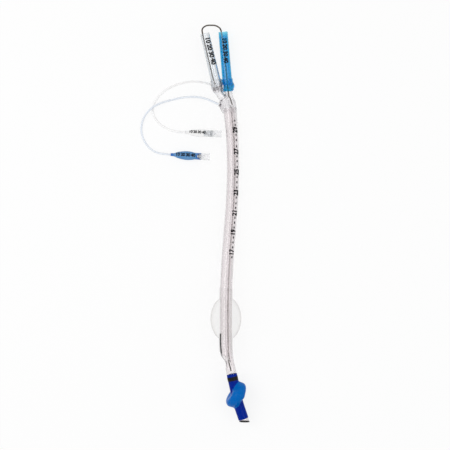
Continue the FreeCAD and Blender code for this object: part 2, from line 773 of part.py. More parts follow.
def make_luer(route, pilot):
    """The luer cap: a spigot that closes the cup and is the valve's seat, and a tapered socket with lugs."""
    base = VALVE_BODY_L
    mouth = base + LUER_L
    cap = valve_solid(
        [
            (base - LUER_SPIGOT_L, SEAT_HOLE_R),
            (base - LUER_SPIGOT_L, CHAMBER_R),
            (base, CHAMBER_R),
            (base, LUER_R - LUER_CHAMFER),
            (base + LUER_CHAMFER, LUER_R),
            (mouth, LUER_R),
            (mouth, LUER_MOUTH_R),
            (mouth - LUER_MOUTH_L, LUER_MOUTH_R),
            (base + LUER_WEB, LUER_ROOT_R),
            (base + LUER_WEB, SEAT_HOLE_R),
        ],
        route, pilot,
    )
    origin, along, side = pilot_frame(route)
    across = along.cross(side)
    start = valve_point(route, pilot, mouth - LUER_LUG_T)
    disc = rod(start, along, LUER_LUG_R, LUER_LUG_R, LUER_LUG_T)
    corner = start - side * (LUER_LUG_W / 2) - across * (LUER_LUG_R * 1.5)
    strip = placed(Part.makeBox(LUER_LUG_T, LUER_LUG_W, LUER_LUG_R * 3), corner, along, side)
    root_r = LUER_R - LUER_LUG_ROOT
    lugs = disc.common(strip).cut(rod(start, along, root_r, root_r, LUER_LUG_T))
    return cap.fuse(lugs)


def seal_face():
    """How far along the valve the seal meets the spigot."""
    return VALVE_BODY_L - LUER_SPIGOT_L


def make_poppet(route, pilot):
    """The poppet: a head behind the seal and a four-ribbed stem that a syringe's tip presses."""
    head_face = seal_face() - SEAL_T
    rib_r = SEAT_HOLE_R - POPPET_PLAY
    head = valve_solid(
        [(head_face - POPPET_HEAD_T, 0), (head_face - POPPET_HEAD_T, POPPET_HEAD_R),
         (head_face, POPPET_HEAD_R), (head_face, 0)],
        route, pilot,
    )
    origin, along, side = pilot_frame(route)
    start = valve_point(route, pilot, head_face)
    reach = VALVE_BODY_L + POPPET_REACH - head_face
    rod_shape = rod(start, along, rib_r, rib_r, reach)
    ribs = []
    for across in (side, along.cross(side)):
        corner = start - across * rib_r - along.cross(across) * (POPPET_RIB_T / 2)
        ribs.append(placed(Part.makeBox(reach, 2 * rib_r, POPPET_RIB_T), corner, along, across))
    cross = ribs[0].fuse(ribs[1]).common(rod_shape)
    return head.fuse(cross)


def make_valve_seal(route, pilot):
    face = seal_face()
    return valve_solid(
        [(face - SEAL_T, SEAT_HOLE_R), (face - SEAL_T, POPPET_HEAD_R), (face, POPPET_HEAD_R),
         (face, SEAT_HOLE_R)],
        route, pilot,
    )


def make_valve_spring(route, pilot):
    origin, along, side = pilot_frame(route)
    low = VALVE_FLOOR + SPRING_WIRE_R + SPRING_PLAY
    high = seal_face() - SEAL_T - POPPET_HEAD_T - SPRING_WIRE_R - SPRING_PLAY
    pitch = (high - low) / SPRING_TURNS
    helix = Part.makeHelix(pitch, high - low, SPRING_R)
    corners = []
    for step in range(SPRING_SIDES + 1):
        angle = 2 * math.pi * (step + 0.5) / SPRING_SIDES
        corners.append(V(SPRING_R + SPRING_WIRE_R * math.cos(angle), 0, SPRING_WIRE_R * math.sin(angle)))
    coil = Part.Wire(helix.Edges).makePipeShell([Part.makePolygon(corners)], True, True)
    turned = FreeCAD.Rotation(side, along.cross(side), along, "ZXY")
    coil.Placement = FreeCAD.Placement(valve_point(route, pilot, low), turned)
    return coil


INFLATION = {
    "tracheal": (TRACHEAL_LINE_ROUTE, TRACHEAL_PILOT),
    "bronchial": (BRONCHIAL_LINE_ROUTE, BRONCHIAL_PILOT),
}


def make_parts():
    parts = {
        "shaft": make_shaft(),
        "bronchial_tube": make_bronchial_tube(),
        "tip_marker": make_tip_marker(),
        "marker_ring": make_marker_ring(),
        "opening_marker": make_opening_marker(),
        "tracheal_cuff": make_tracheal_cuff(),
        "bronchial_cuff": make_bronchial_cuff(),
        "y_joint": make_y_joint(),
        "tracheal_limb": make_limb("tracheal"),
        "bronchial_limb": make_limb("bronchial"),
        "tracheal_collar": make_collar("tracheal"),
        "bronchial_collar": make_collar("bronchial"),
        "stylet": make_stylet(),
        "tracheal_line_sleeve": make_line_sleeve(),
    }
    for name, (route, pilot) in INFLATION.items():
        parts[name + "_line"] = make_line(route)
        parts[name + "_pilot_balloon"] = make_balloon(route, pilot)
        parts[name + "_valve_body"] = make_valve_body(route, pilot)
        parts[name + "_luer_cap"] = make_luer(route, pilot)
        parts[name + "_poppet"] = make_poppet(route, pilot)
        parts[name + "_valve_seal"] = make_valve_seal(route, pilot)
        parts[name + "_valve_spring"] = make_valve_spring(route, pilot)
    return parts


PARTS = make_parts()
os.makedirs("parts", exist_ok=True)
for node, shape in PARTS.items():
    shape.exportStep(os.path.join("parts", node + ".step"))
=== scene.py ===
# %% [markdown]
# # A double-lumen airway tube, dressed for a studio picture
# The tube comes from CAD as a fixed frame. This lesson gives it its looks: soft clear tubing, blown film
# cuffs, blue and clear mouldings, two thin inflation lines and a satin wire inside. Every step first says
# what the piece is on the real object, and then how Blender makes it.

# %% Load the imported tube
import math

import bmesh
import bpy
import numpy as np
from mathutils import Matrix, Vector
from mathutils.bvhtree import BVHTree


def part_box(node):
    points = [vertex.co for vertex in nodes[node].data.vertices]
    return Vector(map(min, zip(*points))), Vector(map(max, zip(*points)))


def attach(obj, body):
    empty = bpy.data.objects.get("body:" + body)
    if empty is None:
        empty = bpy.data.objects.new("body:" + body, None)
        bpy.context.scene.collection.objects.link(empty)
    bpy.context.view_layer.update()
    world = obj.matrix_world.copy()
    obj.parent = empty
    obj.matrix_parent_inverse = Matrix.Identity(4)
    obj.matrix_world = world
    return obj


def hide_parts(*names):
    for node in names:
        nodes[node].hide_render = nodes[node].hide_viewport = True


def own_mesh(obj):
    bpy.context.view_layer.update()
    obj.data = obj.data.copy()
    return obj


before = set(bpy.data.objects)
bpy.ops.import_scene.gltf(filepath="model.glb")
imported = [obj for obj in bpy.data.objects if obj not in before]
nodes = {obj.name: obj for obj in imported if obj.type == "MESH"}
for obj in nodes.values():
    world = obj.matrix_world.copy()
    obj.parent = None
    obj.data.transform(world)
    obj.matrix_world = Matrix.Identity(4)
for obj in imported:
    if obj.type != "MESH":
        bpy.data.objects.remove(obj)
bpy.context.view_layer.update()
MM = 0.001

# %% [markdown]
# ## The studio
# The photograph is a product shot from straight above on white. A long lens from far away keeps the tube's
# sides parallel, as a product photographer would do it. The picture is 0.45 m wide.

# %% The camera
scene = bpy.context.scene
PICTURE_WIDTH = 0.45
LENS_MM = 200.0
SENSOR_MM = 36.0
AIM = Vector((-0.3, -1.3, 10.0)) * MM
camera_data = bpy.data.cameras.new("camera")
camera_data.lens = LENS_MM
camera_data.sensor_width = SENSOR_MM
camera_data.clip_end = 50.0
camera = bpy.data.objects.new("camera", camera_data)
scene.collection.objects.link(camera)
camera.location = AIM + Vector((0, 0, PICTURE_WIDTH * LENS_MM / SENSOR_MM))
scene.camera = camera
scene.view_settings.view_transform = "Standard"
print("the camera is", round(camera.location.z, 2), "m above the floor")

# %% [markdown]
# Materials are small graphs of shader nodes. Three helpers keep them short: one makes an empty material, one
# adds a node and sets its sockets by name, and one joins the last shader to the output.

# %% Helpers for shader nodes
def new_material(name):
    """An empty node material and its tree."""
    material = bpy.data.materials.new(name)
    material.use_nodes = True
    material.node_tree.nodes.clear()
    return material, material.node_tree


def node(tree, kind, **settings):
    """One shader node. A setting is a socket's name with _ for a space, or a property of the node."""
    made = tree.nodes.new("ShaderNode" + kind)
    for key, value in settings.items():
        socket = made.inputs.get(key.replace("_", " "))
        if socket is None:
            setattr(made, key, value)
        elif isinstance(value, bpy.types.NodeSocket):
            tree.links.new(value, socket)
        else:
            socket.default_value = value
    return made


def mixed(tree, share, first, second):
    """A mix of two shaders. The share is a number or a socket."""
    mix = node(tree, "MixShader", Fac=share)
    tree.links.new(first.outputs[0], mix.inputs[1])
    tree.links.new(second.outputs[0], mix.inputs[2])
    return mix


def output(tree, surface, volume=None):
    end = tree.nodes.new("ShaderNodeOutputMaterial")
    tree.links.new(surface.outputs[0], end.inputs["Surface"])
    if volume:
        tree.links.new(volume.outputs[0], end.inputs["Volume"])


def unlit_rays(tree):
    """One for what the camera sees, straight, through clear plastic or in a reflection. Zero for light."""
    path = node(tree, "LightPath")
    seen = path.outputs["Is Camera Ray"]
    for name in ("Is Transmission Ray", "Is Glossy Ray"):
        either = node(tree, "Math", operation="MAXIMUM")
        tree.links.new(seen, either.inputs[0])
        tree.links.new(path.outputs[name], either.inputs[1])
        seen = either.outputs[0]
    return seen


print("helpers are ready")

# %% [markdown]
# The floor is white paint. Where the camera looks at it, most of it is plain white and the rest is the lit
# paint, so the tube's soft shadow stays, but faint, as in a picture taken on a lit white table.

# %% Floor, sky and lamps
FLOOR_SIZE = 6.0
FLOOR_WHITE = (0.97, 0.97, 0.97, 1)
FLOOR_GLOW = 0.82
floor_mesh = bpy.data.meshes.new("floor")
half = FLOOR_SIZE / 2
corners = [(-half, -half, 0), (half, -half, 0), (half, half, 0), (-half, half, 0)]
floor_mesh.from_pydata(corners, [], [(0, 1, 2, 3)])
floor = bpy.data.objects.new("floor", floor_mesh)
scene.collection.objects.link(floor)
paint, tree = new_material("floor_paint")
glow_share = node(tree, "Math", operation="MULTIPLY")
tree.links.new(unlit_rays(tree), glow_share.inputs[0])
glow_share.inputs[1].default_value = FLOOR_GLOW
matt = node(tree, "BsdfDiffuse", Color=FLOOR_WHITE)
glow = node(tree, "Emission", Color=(1, 1, 1, 1), Strength=1.0)
output(tree, mixed(tree, glow_share.outputs[0], matt, glow))
floor_mesh.materials.append(paint)

SKY_LEVEL = 0.6
sky = bpy.data.worlds.new("sky")
scene.world = sky
sky.use_nodes = True
tree = sky.node_tree
tree.nodes.clear()
lit = node(tree, "Background", Color=(1, 1, 1, 1), Strength=SKY_LEVEL)
white = node(tree, "Background", Color=(1, 1, 1, 1), Strength=1.0)
end = tree.nodes.new("ShaderNodeOutputWorld")
tree.links.new(mixed(tree, unlit_rays(tree), lit, white).outputs[0], end.inputs["Surface"])

# Where each soft box stands, how large it is, and the light it gives
SOFT_BOXES = {
    "left_box": ((-0.75, 0.15, 1.1), 0.9, 5.6),
    "right_box": ((0.85, -0.1, 1.2), 0.9, 3.6),
}
for name, (place, size, watts) in SOFT_BOXES.items():
    lamp = bpy.data.lights.new(name, "AREA")
    lamp.shape = "SQUARE"
    lamp.size = size
    lamp.energy = watts
    soft_box = bpy.data.objects.new(name, lamp)
    soft_box.location = place
    soft_box.rotation_euler = (-Vector(place)).to_track_quat("-Z", "Y").to_euler()
    scene.collection.objects.link(soft_box)
print("sky level", SKY_LEVEL, "and", len(SOFT_BOXES), "soft boxes")

# %% [markdown]
# ## The two inflation lines
# Each cuff is filled through a fine line, two millimetres thick, that ends in a pilot balloon, a valve and a
# luer cap. It is a real length of soft tubing that lies in loose curves on the table. A NURBS curve with a
# round bevel is the way to draw it: a few control points give one smooth line, as soft tubing lies. A point's
# radius times the bevel depth is the line's radius. The radius is set to the real one, and the depth to 1.

# %% The lines as curves
LINE_DIAMETER = 2.0 * MM
LINE_POINTS = {
    "tracheal": [
        (11.4, 101.6, 2.3), (10.8, 108.6, 1.3), (10.5, 116.4, 1.0), (8.9, 123.2, 1.0),
        (3.6, 128.1, 1.0), (-2.9, 132.3, 1.0), (-9.7, 137.3, 1.0), (-17.9, 140.8, 1.0),
        (-26.6, 142.4, 1.0), (-35.6, 142.6, 1.0), (-45.1, 140.9, 1.0), (-54.5, 137.5, 1.0),
        (-62.7, 132.3, 1.0), (-69.5, 125.1, 1.0), (-73.4, 116.3, 1.0), (-71.9, 107.3, 1.0),
        (-65.7, 99.5, 1.0), (-56.9, 94.3, 2.1), (-48.5, 91.99, 4.46), (-40.5, 91.6, 4.35),
    ],
    "bronchial": [
        (-6.7, 119.2, 12.4), (-14.3, 123.1, 12.0), (-22.9, 126.1, 9.4), (-32.1, 127.3, 5.2),
        (-41.9, 126.8, 1.9), (-51.7, 124.8, 1.0), (-60.9, 122.3, 3.0), (-68.7, 119.3, 6.3),
        (-76.1, 114.1, 6.3), (-81.4, 107.5, 3.2), (-84.3, 99.3, 1.0), (-84.3, 90.7, 1.0),
        (-81.4, 82.7, 1.0), (-76.4, 75.9, 1.0), (-69.7, 71.4, 2.7), (-62.2, 69.78, 5.0),
        (-54.7, 69.3, 4.86),
    ],
}
for side, points in LINE_POINTS.items():
    curve = bpy.data.curves.new(side + "_line_tube", "CURVE")
    curve.dimensions = "3D"
    curve.resolution_u = 8
    curve.bevel_depth = 1.0
    curve.bevel_resolution = 4
    curve.use_fill_caps = True
    spline = curve.splines.new("NURBS")
    spline.points.add(len(points) - 1)
    for target, point in zip(spline.points, points):
        target.co = (*(Vector(point) * MM), 1.0)
        target.radius = LINE_DIAMETER / 2
    spline.order_u = 3
    spline.use_endpoint_u = True
    line = bpy.data.objects.new(side + "_line_tube", curve)
    scene.collection.objects.link(line)
    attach(line, "tube")
    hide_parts(side + "_line")
    print(side, "line has", len(points), "control points")

# %% [markdown]
# ## Film as a skin over rings
# A cuff or balloon is blown film: a tube of thin plastic swollen by air. To the eye it is a skin without
# thickness, so it is made as one: rings of points, one after another along an axis, joined by faces. The
# same helper makes the tracheal cuff, the slanting bronchial cuff and both pilot balloons. Each ring also
# carries one number, how far the film is blown there, which the materials use later for its colour.

# %% Helpers for skins
def add_piece(name, mesh, replaced=(), body="tube"):
    """A mesh as a piece of the scene that rides on a body of the frame."""
    piece = bpy.data.objects.new(name, mesh)
    scene.collection.objects.link(piece)
    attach(piece, body)
    if replaced:
        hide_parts(*replaced)
    return piece


def skin(name, rings, blown, is_open=None):
    """A smooth skin over rings of equally many points. Faces for which is_open says yes are left out."""
    count = len(rings[0])
    mesh = bpy.data.meshes.new(name)
    vertices = [point for ring in rings for point in ring]
    faces = []
    for step in range(len(rings) - 1):
        for turn in range(count):
            after = (turn + 1) % count
            corners = [(step, turn), (step, after), (step + 1, after), (step + 1, turn)]
            if is_open is None or not any(is_open(*corner) for corner in corners):
                faces.append([row * count + column for row, column in corners])
    mesh.from_pydata(vertices, [], faces)
    values = mesh.attributes.new("blown", "FLOAT", "POINT")
    values.data.foreach_set("value", [float(share) for ring in blown for share in ring])
    mesh.shade_smooth()
    cleaned = bmesh.new()
    cleaned.from_mesh(mesh)
    loose = [vertex for vertex in cleaned.verts if not vertex.link_faces]
    bmesh.ops.delete(cleaned, geom=loose, context="VERTS")
    bmesh.ops.recalc_face_normals(cleaned, faces=cleaned.faces)
    cleaned.to_mesh(mesh)
    cleaned.free()
    return mesh


def turned_directions(across, up, count):
    """Unit vectors all round an axis."""
    angles = [2 * math.pi * step / count for step in range(count)]
    return [(angle, across * math.cos(angle) + up * math.sin(angle)) for angle in angles]


def smooth_step(share):
    share = min(max(share, 0.0), 1.0)
    return share * share * (3 - 2 * share)


print("skins are ready")

# %% [markdown]
# ## The tracheal cuff
# The large cuff is a clear film oval that seals the windpipe. Its two sleeves are glued to the shaft. Near
# the necks real film gathers into fine pleats, and where the cuff rests on the table it is a little flat.

# %% The tracheal cuff's film
CUFF_CENTRE = Vector((0.6, -94.8, 15.0)) * MM
CUFF_ALONG = (Vector((0.5, -121.3, 16.35)) - Vector((0.7, -66.3, 13.65))).normalized()
CUFF_ACROSS = (Vector((1, 0, 0)) - CUFF_ALONG * CUFF_ALONG.x).normalized()
CUFF_UP = CUFF_ALONG.cross(CUFF_ACROSS)
CUFF_R = 15.4 * MM
CUFF_HALF_L = 22.0 * MM
CUFF_SLEEVE_R = {"near": 6.5 * MM, "far": 6.8 * MM}
CUFF_END = {"near": 31.1 * MM, "far": 33.3 * MM}
CUFF_NECK_L = 1.2 * MM
SHAFT_R = 6.0 * MM
SLEEVE_LIP_L = 0.5 * MM
CUFF_POINTS = 96
CUFF_STATIONS = 110
PLEATS = 22
PLEAT_DEPTH = 0.16 * MM
PLEAT_PLACE = 17.5 * MM
PLEAT_REACH = 3.0 * MM
FLOOR_GAP = 0.05 * MM


def cuff_radius(distance):
    """The cuff's outline: a sleeve that closes on the shaft, the oval, and the other sleeve."""
    end = "near" if distance < 0 else "far"
    sleeve_r = CUFF_SLEEVE_R[end]
    edge = CUFF_HALF_L * math.sqrt(1 - (sleeve_r / CUFF_R) ** 2)
    if abs(distance) >= edge:
        to_end = CUFF_END[end] - abs(distance)
        return SHAFT_R + (sleeve_r - SHAFT_R) * smooth_step(to_end / SLEEVE_LIP_L)
    swell = CUFF_R * math.sqrt(1 - (distance / CUFF_HALF_L) ** 2)
    into_oval = (edge + CUFF_NECK_L - abs(distance)) / (2 * CUFF_NECK_L)
    return sleeve_r + (swell - sleeve_r) * smooth_step(into_oval)


cuff_rings = []
cuff_blown = []
for step in range(CUFF_STATIONS + 1):
    distance = -CUFF_END["near"] + (CUFF_END["near"] + CUFF_END["far"]) * step / CUFF_STATIONS
    base = cuff_radius(distance)
    centre = CUFF_CENTRE + CUFF_ALONG * distance
    pleat = PLEAT_DEPTH * math.exp(-((abs(distance) - PLEAT_PLACE) / PLEAT_REACH) ** 2)
    points = [centre + direction * (base + pleat * math.cos(PLEATS * angle))
              for angle, direction in turned_directions(CUFF_ACROSS, CUFF_UP, CUFF_POINTS)]
    for point in points:
        point.z = max(point.z, FLOOR_GAP)
    cuff_rings.append(points)
    cuff_blown.append([smooth_step((base - SHAFT_R) / (CUFF_R - SHAFT_R) * 2)] * CUFF_POINTS)
tracheal_film = add_piece("tracheal_cuff_film", skin("tracheal_cuff_film", cuff_rings, cuff_blown),
                          ["tracheal_cuff"])
print("tracheal cuff:", len(tracheal_film.data.polygons), "faces")

# %% [markdown]
# ## The bronchial cuff
# On a right-sided tube this cuff is a ring that slants across the tube, so that the side slot to the upper
# lobe stays free. The real one is a blue film sleeve with the slanting ring blown into it. The tube bends
# here, so a small function walks along its axis: straight, round the bend, and straight again.

# %% The bronchial tube's axis
BRONCHIAL_R = 4.8 * MM
SHAFT_END = Vector((2.3, -136.3, 16.45)) * MM
SHAFT_END_SIDE = Vector((0.8901, 0.1039, -0.4438))
BRONCHIAL_START = SHAFT_END + SHAFT_END_SIDE * (SHAFT_R - BRONCHIAL_R)
BRONCHIAL_RUN = Vector((9.3, -42.4, -2.4)) * MM
TIP_HEADING = Vector((8.6, -25.6, -2.2)).normalized()
BRONCHIAL_BEND_R = 100.0 * MM


def bronchial_frame(distance):
    """Point, direction and sideways direction at a distance along the bronchial tube's axis."""
    heading = BRONCHIAL_RUN.normalized()
    turn = heading.angle(TIP_HEADING)
    straight = BRONCHIAL_RUN.length - BRONCHIAL_BEND_R * math.tan(turn / 2)
    share = min(max((distance - straight) / BRONCHIAL_BEND_R, 0.0), turn)
    inward = (TIP_HEADING - heading * TIP_HEADING.dot(heading)).normalized()
    along = heading * math.cos(share) + inward * math.sin(share)
    point = BRONCHIAL_START + heading * min(distance, straight)
    point += (heading * math.sin(share) + inward * (1 - math.cos(share))) * BRONCHIAL_BEND_R
    point += along * max(distance - straight - BRONCHIAL_BEND_R * turn, 0.0)
    side = (SHAFT_END_SIDE - heading * SHAFT_END_SIDE.dot(heading)).normalized()
    return point, along, heading.rotation_difference(along) @ side


for at in (0.0, 35.0, 64.1):
    print("bronchial axis at", at, [round(c / MM, 2) for c in bronchial_frame(at * MM)[0]])

# %% [markdown]
# The blown ring is a torus that leans over, and it is fuller over the top than at its two lobes or
# underneath. From a point of the tube's axis a ray goes out in each direction, and the film lies where the
# ray leaves the torus for the last time, or on the sleeve where it meets no torus. A little averaging
# between neighbours then rounds the crease, as blown film has no sharp one.

# %% The bronchial cuff's film
FILM_SLEEVE_R = 5.2 * MM
FILM_START = 14.0 * MM
FILM_END = 60.8 * MM
RING_MIDDLE = 35.0 * MM
RING_TILT = math.radians(46.0)
RING_R = 9.1 * MM
UPPER_LOBE_R = 4.7 * MM
LOWER_LOBE_R = 5.3 * MM
TOP_R = 7.2 * MM
UNDER_R = 4.8 * MM
LOBE_FALLOFF = 0.7
RAY_STEPS = 260
ROUND_PASSES = 4
ALONG_PASSES = 18
FULLY_BLOWN = 0.7 * MM
FILM_STATIONS = 130
SLOT_MIDDLE = 49.5 * MM
SLOT_HALF_RUN = 3.0 * MM
SLOT_HALF_W = 2.1 * MM
SLOT_SNAP = 0.2 * MM
ring_point, ring_along, ring_side = bronchial_frame(RING_MIDDLE)
level_side = Vector((0, 0, 1)).cross(ring_along).normalized()
lean_side = (ring_side + level_side).normalized()
RING_AXIS = np.array(ring_along * math.cos(RING_TILT) + lean_side * math.sin(RING_TILT))
LOBE_WAY = np.array(lean_side * math.cos(RING_TILT) - ring_along * math.sin(RING_TILT))


def swollen_radii(centre, directions):
    """How far the slanting torus reaches from a point of the axis in each direction, or the sleeve."""
    radii = np.linspace(FILM_SLEEVE_R, RING_R + TOP_R + FILM_SLEEVE_R, RAY_STEPS)
    start = np.array(centre - ring_point)
    points = start + np.array(directions)[:, None, :] * radii[None, :, None]
    level = points @ RING_AXIS
    out = np.linalg.norm(points - level[..., None] * RING_AXIS, axis=2)
    waist_r = np.where(points[..., 2] > 0, TOP_R, UNDER_R)
    to_lobe = points @ LOBE_WAY / out
    lobe_r = np.where(to_lobe > 0, UPPER_LOBE_R, LOWER_LOBE_R)
    tube_r = waist_r + (lobe_r - waist_r) * abs(to_lobe) ** LOBE_FALLOFF
    inside = (out - RING_R) ** 2 + level**2 < tube_r**2
    last = np.where(inside.any(axis=1), len(radii) - 1 - inside[:, ::-1].argmax(axis=1), 0)
    return radii[last]


def slot_distance(distance, round_way):
    """Signed distance to the slot's outline, a long hole with round ends, in the film's flat pattern."""
    past = abs(distance - SLOT_MIDDLE) - SLOT_HALF_RUN
    return math.hypot(max(past, 0.0), round_way) - SLOT_HALF_W


film_distances = np.linspace(FILM_START, FILM_END, FILM_STATIONS + 1)
film_radii = []
for distance in film_distances:
    point, along, side = bronchial_frame(distance)
    directions = [direction for angle, direction in turned_directions(side, along.cross(side), CUFF_POINTS)]
    film_radii.append(swollen_radii(point, directions))
film_radii = np.array(film_radii)
for again in range(ROUND_PASSES):
    film_radii = (np.roll(film_radii, 1, axis=1) + 2 * film_radii + np.roll(film_radii, -1, axis=1)) / 4
for again in range(ALONG_PASSES):
    film_radii[1:-1] = (film_radii[:-2] + 2 * film_radii[1:-1] + film_radii[2:]) / 4
film_radii[0] = film_radii[-1] = BRONCHIAL_R
print("the blown ring reaches", round(film_radii.max() / MM, 2), "mm from the tube's axis")

# %% [markdown]
# The side slot has to stay open in the film too. The grid's corners next to the slot's outline are moved
# onto it first, so the hole that is left when faces go is smooth and not stepped.

# %% The film's skin and its side slot
film_rings = []
slot_levels = []
for row, distance in enumerate(film_distances):
    ring_points, ring_levels = [], []
    for column in range(CUFF_POINTS):
        angle = 2 * math.pi * column / CUFF_POINTS
        at, round_way = distance, math.remainder(angle, 2 * math.pi) * FILM_SLEEVE_R
        level = slot_distance(at, round_way)
        if abs(level) < SLOT_SNAP:
            past = math.copysign(max(abs(at - SLOT_MIDDLE) - SLOT_HALF_RUN, 0.0), at - SLOT_MIDDLE)
            shrink = level / max(math.hypot(past, round_way), SLOT_SNAP)
            at, round_way = at - past * shrink, round_way - round_way * shrink
            angle, level = round_way / FILM_SLEEVE_R, 0.0
        point, along, side = bronchial_frame(at)
        direction = side * math.cos(angle) + along.cross(side) * math.sin(angle)
        ring_points.append(point + direction * float(film_radii[row][column]))
        ring_levels.append(level)
    film_rings.append(ring_points)
    slot_levels.append(ring_levels)
film_blown = [[smooth_step((radius - FILM_SLEEVE_R) / FULLY_BLOWN) for radius in row] for row in film_radii]
bronchial_film = add_piece(
    "bronchial_cuff_film",
    skin("bronchial_cuff_film", film_rings, film_blown, lambda row, column: slot_levels[row][column] < 0),
    ["bronchial_cuff"])
print("bronchial cuff:", len(bronchial_film.data.polygons), "faces")

# %% [markdown]
# ## The pilot balloons
# Each line ends in a small balloon that shows by its fullness whether the cuff is filled. Its skin starts as
# a thin neck on the line, swells to a spindle, and ends as a sleeve glued over the valve. The sleeve's end
# is cut like a swallow's tail: long at both sides, short on top.

# %% The pilot balloons' film
# Where each balloon starts, the way it points, its length, and the radius of its belly
PILOTS = {
    "tracheal": (Vector((-40.5, 91.6, 4.35)) * MM, Vector((0.99872, -0.048688, -0.013732)),
                 27.6 * MM, 3.9 * MM),
    "bronchial": (Vector((-54.7, 69.3, 4.86)) * MM, Vector((0.997785, -0.063858, -0.018625)),
                  30.0 * MM, 4.5 * MM),
}
PILOT_NECK_R = 1.5 * MM
PILOT_NECK_L = 2.5 * MM
PILOT_SLEEVE_R = 3.35 * MM
PILOT_SLEEVE_L = 5.5 * MM
RISE_AT, RISE_SHARE = 0.24, 0.55
BELLY_AT = 0.54
FALL_AT, FALL_SHARE = 0.72, 0.6
PILOT_POINTS = 48
PILOT_STATIONS = 70
TAIL_CUT = 2.5 * MM
TAIL_BACK = 1.3 * MM


def pilot_outline(length, belly_r):
    """Distance and radius of the balloon's points, from its neck to the end of its sleeve."""
    rise = PILOT_NECK_R + (belly_r - PILOT_NECK_R) * RISE_SHARE
    fall = PILOT_SLEEVE_R + (belly_r - PILOT_SLEEVE_R) * FALL_SHARE
    return [
        (0.0, PILOT_NECK_R), (PILOT_NECK_L, PILOT_NECK_R), (length * RISE_AT, rise),
        (length * BELLY_AT, belly_r), (length * FALL_AT, fall),
        (length - PILOT_SLEEVE_L, PILOT_SLEEVE_R), (length, PILOT_SLEEVE_R),
    ]


def smooth_through(outline, distance):
    """A smooth curve through the outline's points. It is level at the ends, and where the outline turns."""
    for place in range(len(outline) - 1):
        (d0, r0), (d1, r1) = outline[place], outline[place + 1]
        if distance <= d1:
            before = outline[max(place - 1, 0)]
            after = outline[min(place + 2, len(outline) - 1)]
            slope0 = (r1 - before[1]) / (d1 - before[0]) if (r1 - r0) * (r0 - before[1]) > 0 else 0.0
            slope1 = (after[1] - r0) / (after[0] - d0) if (after[1] - r1) * (r1 - r0) > 0 else 0.0
            t = (distance - d0) / (d1 - d0)
            run = d1 - d0
            return ((2 * t**3 - 3 * t**2 + 1) * r0 + (t**3 - 2 * t**2 + t) * run * slope0
                    + (3 * t**2 - 2 * t**3) * r1 + (t**3 - t**2) * run * slope1)
    return outline[-1][1]


balloons = {}
for side, (origin, along, length, belly_r) in PILOTS.items():
    across = along.cross(Vector((0, 0, 1))).normalized()
    up = across.cross(along)
    outline = pilot_outline(length, belly_r)
    rings, blown = [], []
    for step in range(PILOT_STATIONS + 1):
        base = length * step / PILOT_STATIONS
        radius = smooth_through(outline, base)
        into_sleeve = smooth_step((base - length + PILOT_SLEEVE_L) / PILOT_SLEEVE_L)
        points = []
        for angle, direction in turned_directions(across, up, PILOT_POINTS):
            tail = (TAIL_CUT * math.cos(2 * angle) - TAIL_BACK) * into_sleeve
            points.append(origin + along * (base + tail) + direction * radius)
        rings.append(points)
        solid_end = max(into_sleeve, smooth_step(1 - base / (2 * PILOT_NECK_L)))
        blown.append([1 - solid_end] * PILOT_POINTS)
    name = side + "_pilot_film"
    balloons[side] = add_piece(name, skin(name, rings, blown),
                               [side + "_pilot_balloon"])
    print(side, "pilot film:", len(balloons[side].data.polygons), "faces")

# %% [markdown]
# ## The valve springs
# Inside each valve a spring holds the poppet shut. A syringe's tip presses the poppet in, and the spring gets
# shorter. The spring keeps the shape it has in CAD, as a piece of its own.

# %% The springs as pieces of their own
for side, (origin, along, length, belly_r) in PILOTS.items():
    spring = add_piece(side + "_valve_coil", nodes[side + "_valve_spring"].data.copy(),
                       [side + "_valve_spring"])
    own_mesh(spring)

# %% [markdown]
# ## Print
# The real tube carries black print: depth marks along the shaft, and a line of type on each limb and pilot
# balloon. Here it is plain numbers and strokes only. A text object gives the outlines, which are cut fine
# enough to bend, and then every point is dropped straight down onto the surface under it.

# %% Helpers for print
PRINT_HEIGHT = 60 * MM
PRINT_LIFT = 0.05 * MM
PRINT_EDGE = 0.6 * MM
CUT_ROUNDS = 4
WORD_SPACE = 0.6
BOLDNESS = 0.055
view = bpy.context.view_layer
view.update()


def surface_of(piece):
    """A search tree of a piece's surface, for dropping points onto it."""
    return BVHTree.FromObject(piece, bpy.context.evaluated_depsgraph_get())


def printed(text, size, place, heading):
    """Flat type as a bmesh: its middle at a place of the floor plan, its reading direction at an angle."""
    curve = bpy.data.curves.new("type", "FONT")
    curve.body = text
    curve.size = size
    curve.offset = size * BOLDNESS
    curve.space_word = WORD_SPACE
    curve.align_x = "CENTER"
    curve.align_y = "CENTER"
    source = bpy.data.objects.new("type", curve)
    mesh = bpy.data.meshes.new_from_object(source)
    form = bmesh.new()
    form.from_mesh(mesh)
    bpy.data.objects.remove(source)
    bpy.data.curves.remove(curve)
    bpy.data.meshes.remove(mesh)
    bmesh.ops.triangulate(form, faces=form.faces[:])
    form.transform(Matrix.Translation((*place, 0)) @ Matrix.Rotation(heading, 4, "Z"))
    for again in range(CUT_ROUNDS):
        long_edges = [edge for edge in form.edges if edge.calc_length() > PRINT_EDGE]
        if long_edges:
            bmesh.ops.subdivide_edges(form, edges=long_edges, cuts=1)
            bmesh.ops.triangulate(form, faces=form.faces[:])
    return form


def dropped(form, surface):
    """Lays flat type on a surface from above. Points with no surface under them go."""
    missed = []
    for vertex in form.verts:
        hit, normal, face, distance = surface.ray_cast(Vector((vertex.co.x, vertex.co.y, PRINT_HEIGHT)),
                                                       Vector((0, 0, -1)))
        if hit is None:
            missed.append(vertex)
        else:
            vertex.co = hit + normal * math.copysign(PRINT_LIFT, normal.z)
    bmesh.ops.delete(form, geom=missed, context="VERTS")
    return len(missed)


